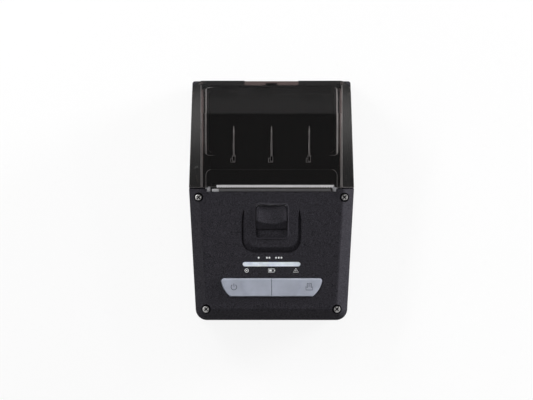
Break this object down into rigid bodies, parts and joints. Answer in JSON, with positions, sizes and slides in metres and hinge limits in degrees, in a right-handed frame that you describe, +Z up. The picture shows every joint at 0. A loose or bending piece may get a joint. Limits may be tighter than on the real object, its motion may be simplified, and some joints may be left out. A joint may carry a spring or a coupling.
{
  "type": "portable receipt printer",
  "caption": "Pocket-size thermal receipt printer with a smoked hinged roll cover, thumb latch, two keys, light bar and slide-in battery.",
  "frame": {"origin": "middle of the underside, between the flanks and between the two ends", "axes": "+X to the right with the keys towards you, +Y to the hinge end, +Z up out of the deck"},
  "size_m": [0.08, 0.116, 0.043],
  "materials": {
    "case_black": "fine spark-eroded texture",
    "cover_smoke": "polished, smoked see-through polycarbonate",
    "key_silicone": "matt silicone",
    "frame_steel": "zinc-plated sheet",
    "ground_steel": "ground bar",
    "screw_steel": "nickel-plated, satin",
    "heat_sink_metal": "extruded",
    "head_ceramic": "glazed ceramic",
    "roller_rubber": "ground rubber",
    "gear_plastic": "moulded acetal",
    "inner_black": "moulded, satin",
    "board_green": "solder mask",
    "chip_black": "moulded package",
    "light_white": "milky light guide",
    "socket_metal": "tin-plated",
    "flap_rubber": "matt rubber",
    "contact_gold": "gold-flashed contact",
    "cell_foil": "foil pouch"
  },
  "bodies": {
    "base": {"lower_case": "case_black", "upper_case": "case_black", "print_frame": "frame_steel", "gear_studs": "ground_steel", "motor": "frame_steel", "head_shaft": "ground_steel", "head_springs": "ground_steel", "paper_bin": "inner_black", "hinge_pins": "ground_steel", "latch_tray": "inner_black", "latch_springs": "ground_steel", "control_board": "board_green", "key_switches": "chip_black", "status_leds": "light_white", "light_pipe": "light_white", "main_board": "board_green", "board_chips": "chip_black", "dc_jack": "chip_black", "usb_socket": "socket_metal", "case_screws": "screw_steel", "exit_guide": "frame_steel", "mark_sensor": "chip_black", "frame_screws": "screw_steel", "battery_contacts": "chip_black"},
    "cover": {"cover": "cover_smoke", "tear_bar": "ground_steel", "platen_holder": "inner_black", "platen_bushes": "gear_plastic"},
    "platen": {"platen_shaft": "ground_steel", "platen_rubber": "roller_rubber", "platen_gear": "gear_plastic"},
    "idler": {"idler_gear": "gear_plastic"},
    "reduction": {"reduction_gear": "gear_plastic"},
    "rotor": {"motor_pinion": "frame_steel"},
    "head": {"heat_sink": "heat_sink_metal", "print_head": "head_ceramic"},
    "latch": {"latch_slider": "case_black", "latch_plate": "frame_steel", "latch_screws": "screw_steel"},
    "power_key": {"power_key": "key_silicone"},
    "feed_key": {"feed_key": "key_silicone"},
    "port_cover": {"port_cover": "flap_rubber"},
    "battery": {"battery_case": "case_black", "battery_cells": "cell_foil", "battery_terminals": "contact_gold"},
    "battery_release": {"battery_catch": "inner_black"}
  },
  "joints": [
    {"name": "cover_hinge", "type": "hinge", "parent": "base", "child": "cover", "pos_m": [0, 0.055, 0.0233], "axis": [-1, 0, 0], "range_deg": [0, 90]},
    {"name": "platen_spin", "type": "hinge", "parent": "cover", "child": "platen", "pos_m": [0, 0.011, 0.0274], "axis": [1, 0, 0], "continuous": true},
    {"name": "idler_spin", "type": "hinge", "parent": "base", "child": "idler", "pos_m": [0, 0.011, 0.01734], "axis": [1, 0, 0], "continuous": true},
    {"name": "reduction_spin", "type": "hinge", "parent": "base", "child": "reduction", "pos_m": [0, 0.00689, 0.00927], "axis": [1, 0, 0], "continuous": true},
    {"name": "motor_spin", "type": "hinge", "parent": "base", "child": "rotor", "pos_m": [0, -0.00235, 0.01174], "axis": [1, 0, 0], "continuous": true},
    {"name": "head_tilt", "type": "hinge", "parent": "base", "child": "head", "pos_m": [0, 0.00435, 0.0196], "axis": [1, 0, 0], "range_deg": [0, 2], "stiffness_Nm_per_rad": 0.5, "springref_deg": -2.86, "deforming": ["head_springs"]},
    {"name": "latch_slide", "type": "slide", "parent": "base", "child": "latch", "axis": [0, -0.9977, -0.0679], "range_m": [0, 0.0034], "stiffness_N_per_m": 350, "springref_m": -0.002, "deforming": ["latch_springs"]},
    {"name": "power_key_press", "type": "slide", "parent": "base", "child": "power_key", "axis": [0, 0.0679, -0.9977], "range_m": [0, 0.0008], "stiffness_N_per_m": 900, "springref_m": -0.0006},
    {"name": "feed_key_press", "type": "slide", "parent": "base", "child": "feed_key", "axis": [0, 0.0679, -0.9977], "range_m": [0, 0.0008], "stiffness_N_per_m": 900, "springref_m": -0.0006},
    {"name": "port_cover_hinge", "type": "hinge", "parent": "base", "child": "port_cover", "pos_m": [-0.03822, -0.0156, 0.0236], "axis": [0, 0, -1], "range_deg": [0, 100]},
    {"name": "battery_slide", "type": "slide", "parent": "base", "child": "battery", "axis": [0, -1, 0], "range_m": [0, 0.04]},
    {"name": "battery_catch_slide", "type": "slide", "parent": "battery", "child": "battery_release", "axis": [0, 0, -1], "range_m": [0, 0.0012], "stiffness_N_per_m": 400, "springref_m": -0.0008}
  ],
  "couplings": [
    {"joint": "idler_spin", "follows": "platen_spin", "ratio": -0.66667},
    {"joint": "reduction_spin", "follows": "platen_spin", "ratio": 1.3333},
    {"joint": "motor_spin", "follows": "platen_spin", "ratio": -3.7333}
  ]
}
